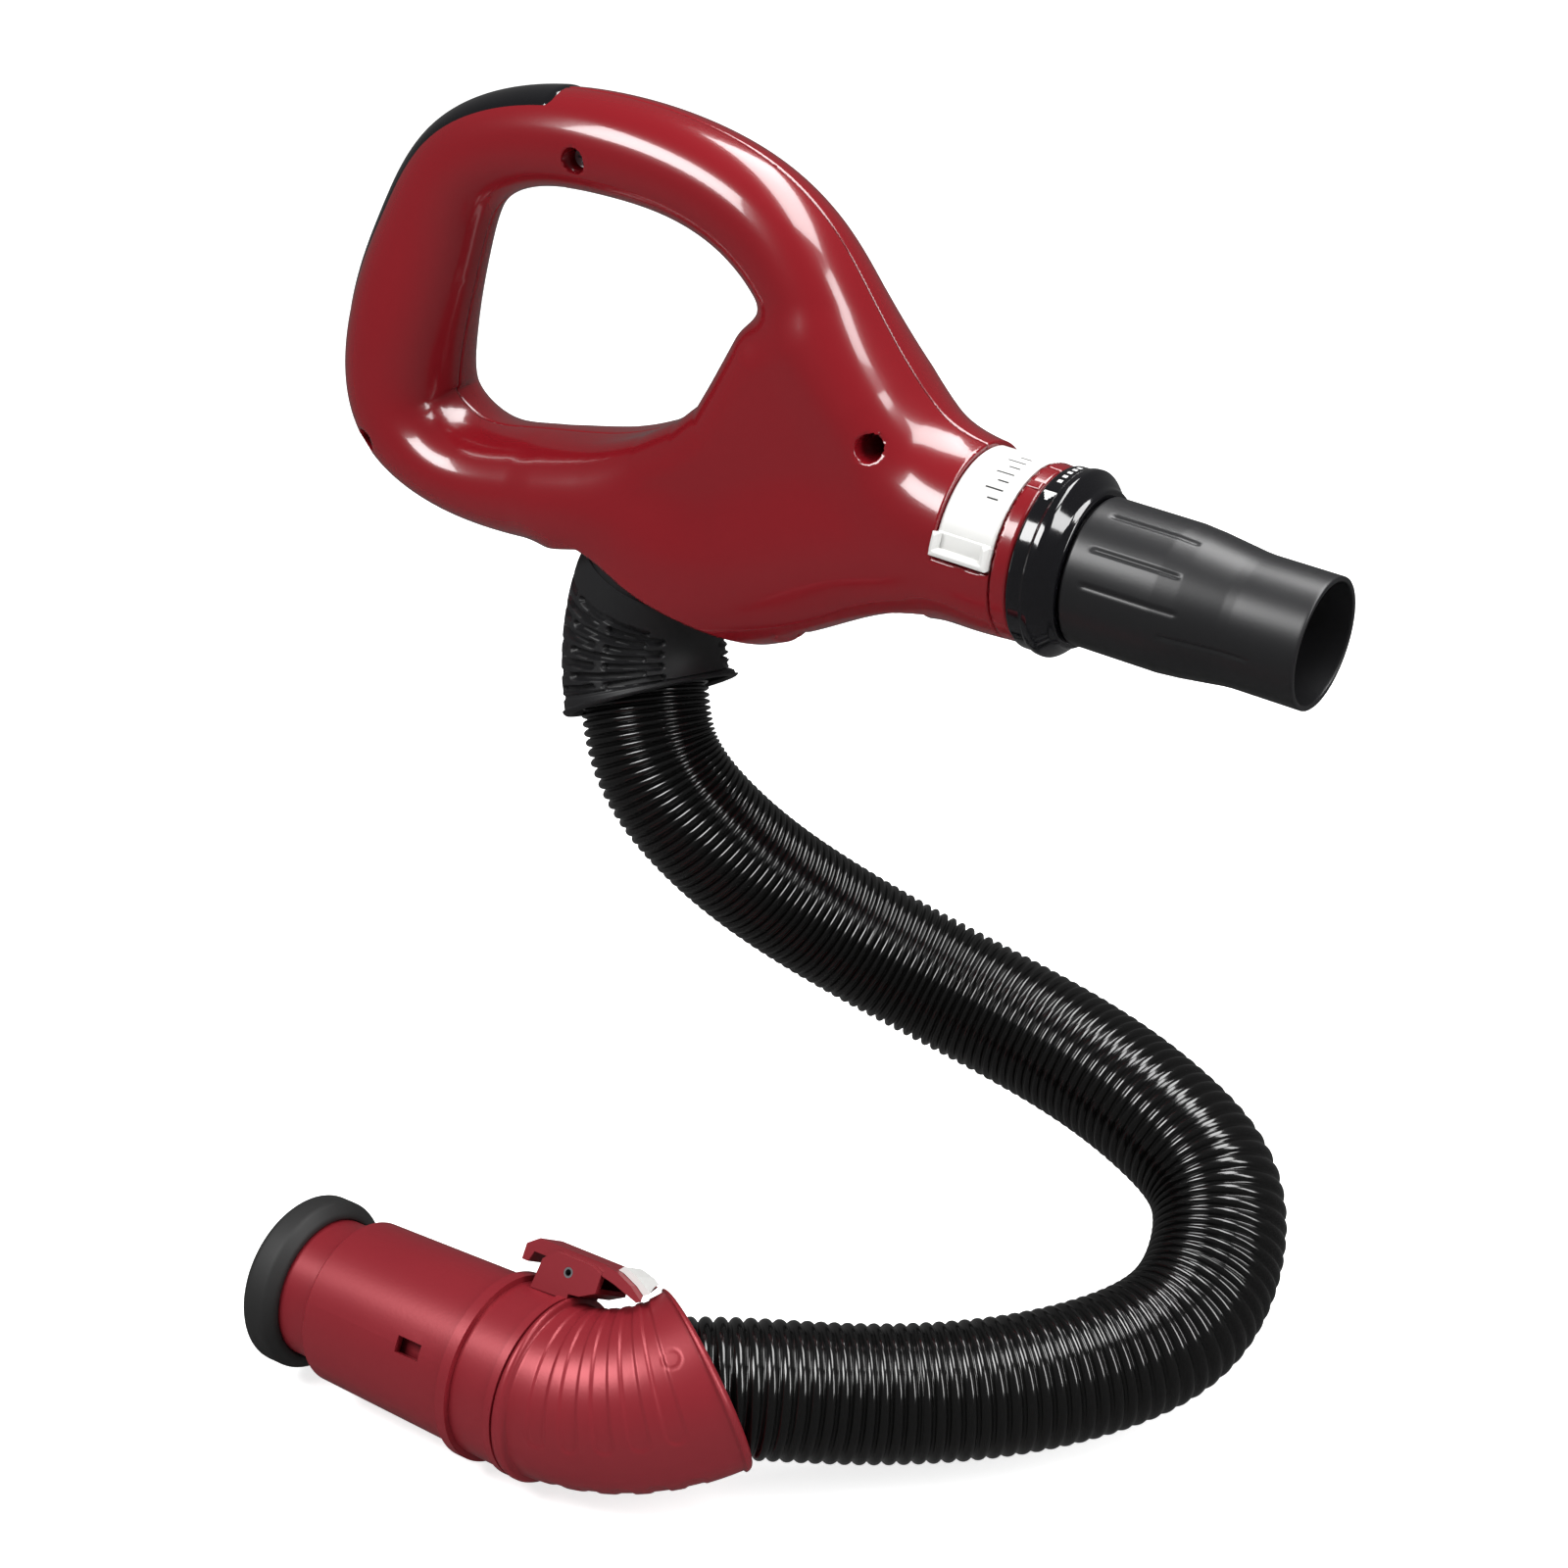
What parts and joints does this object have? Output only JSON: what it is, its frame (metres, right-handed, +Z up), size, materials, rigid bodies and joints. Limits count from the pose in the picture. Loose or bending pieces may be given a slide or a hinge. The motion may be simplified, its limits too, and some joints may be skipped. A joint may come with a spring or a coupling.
{
  "type": "pet dryer hose and handle",
  "caption": "Loop-grip blowing handle on a short corrugated air hose, with a swivelling elbow and a latched connector that plugs into a dryer's blower.",
  "frame": {"origin": "centre of the connector's open end, on the seal's end face", "axes": "+X along the connector from its open end to the elbow, +Z up when the hose lies on a table"},
  "size_m": [0.3421, 0.2357, 0.3685],
  "materials": {
    "shell_red": "glossy crimson",
    "connector_red": "satin, slightly pearly dark red",
    "gloss_black": "piano black",
    "hose_black": "shiny flexible hose",
    "matte_black": "satin black",
    "seal_rubber": "matte",
    "white_plastic": "smooth white",
    "steel": "plain"
  },
  "bodies": {
    "handle": {"handle_shell_right": "shell_red", "handle_shell_left": "shell_red", "handle_trim": "gloss_black", "handle_screws": "steel", "air_duct": "matte_black", "duct_seal": "seal_rubber", "nozzle_tube": "matte_black", "nozzle_seal": "seal_rubber", "port_ring": "matte_black"},
    "slider": {"bleed_slider": "white_plastic"},
    "control_collar": {"control_collar": "gloss_black"},
    "upper_cuff": {"strain_relief": "matte_black", "upper_hose_cuff": "matte_black", "hose_section_6": "hose_black"},
    "hose_5": {"hose_section_5": "hose_black"},
    "hose_4": {"hose_section_4": "hose_black"},
    "hose_3": {"hose_section_3": "hose_black"},
    "hose_2": {"hose_section_2": "hose_black"},
    "elbow": {"elbow_bell": "connector_red", "lower_hose_cuff": "matte_black", "swivel_ring": "matte_black", "hose_section_1": "hose_black"},
    "connector": {"swivel_collar": "connector_red", "connector_sleeve": "connector_red", "inlet_tube": "connector_red", "inlet_seal": "seal_rubber", "latch_pin": "steel", "latch_spring": "steel"},
    "latch": {"latch_lever": "connector_red", "latch_pad": "white_plastic"}
  },
  "joints": [
    {"name": "slider_travel", "type": "hinge", "parent": "handle", "child": "slider", "pos_m": [0.1574, 0.1515, 0.2256], "axis": [-0.9946, -0.0504, 0.0906], "range_deg": [0, 30]},
    {"name": "collar_turn", "type": "hinge", "parent": "handle", "child": "control_collar", "pos_m": [0.1574, 0.1515, 0.2256], "axis": [0.9946, 0.0504, -0.0906], "range_deg": [-30, 30]},
    {"name": "hose_swivel", "type": "hinge", "parent": "handle", "child": "upper_cuff", "pos_m": [0.02702, 0.14489, 0.18687], "axis": [-0.3693, -0.0187, -0.9291], "continuous": true},
    {"name": "hose_bend_5", "type": "hinge", "parent": "upper_cuff", "child": "hose_5", "pos_m": [0.06032, 0.14654, 0.09987], "axis": [0.6407, -0.7678, 0], "range_deg": [-5, 12]},
    {"name": "hose_bend_4", "type": "hinge", "parent": "hose_5", "child": "hose_4", "pos_m": [0.12492, 0.18429, 0.05412], "axis": [-0.2088, 0.978, 0], "range_deg": [-5, 12]},
    {"name": "hose_bend_3", "type": "hinge", "parent": "hose_4", "child": "hose_3", "pos_m": [0.20982, 0.17645, 0.0317], "axis": [0, 0, 1], "range_deg": [-12, 12]},
    {"name": "hose_bend_2", "type": "hinge", "parent": "hose_3", "child": "hose_2", "pos_m": [0.21612, 0.09822, -0.00164], "axis": [0, 0, 1], "range_deg": [-12, 12]},
    {"name": "hose_bend_1", "type": "hinge", "parent": "hose_2", "child": "elbow", "pos_m": [0.14797, 0.02711, 0.00414], "axis": [0, 0, 1], "range_deg": [-12, 12]},
    {"name": "elbow_swivel", "type": "hinge", "parent": "elbow", "child": "connector", "pos_m": [0.1, 0, 0], "axis": [1, 0, 0], "range_deg": [0, 240]},
    {"name": "latch_press", "type": "hinge", "parent": "connector", "child": "latch", "pos_m": [0.098, 0.01781, 0.02849], "axis": [0, 0.848, -0.5299], "range_deg": [0, 6], "stiffness_Nm_per_rad": 0.8}
  ]
}
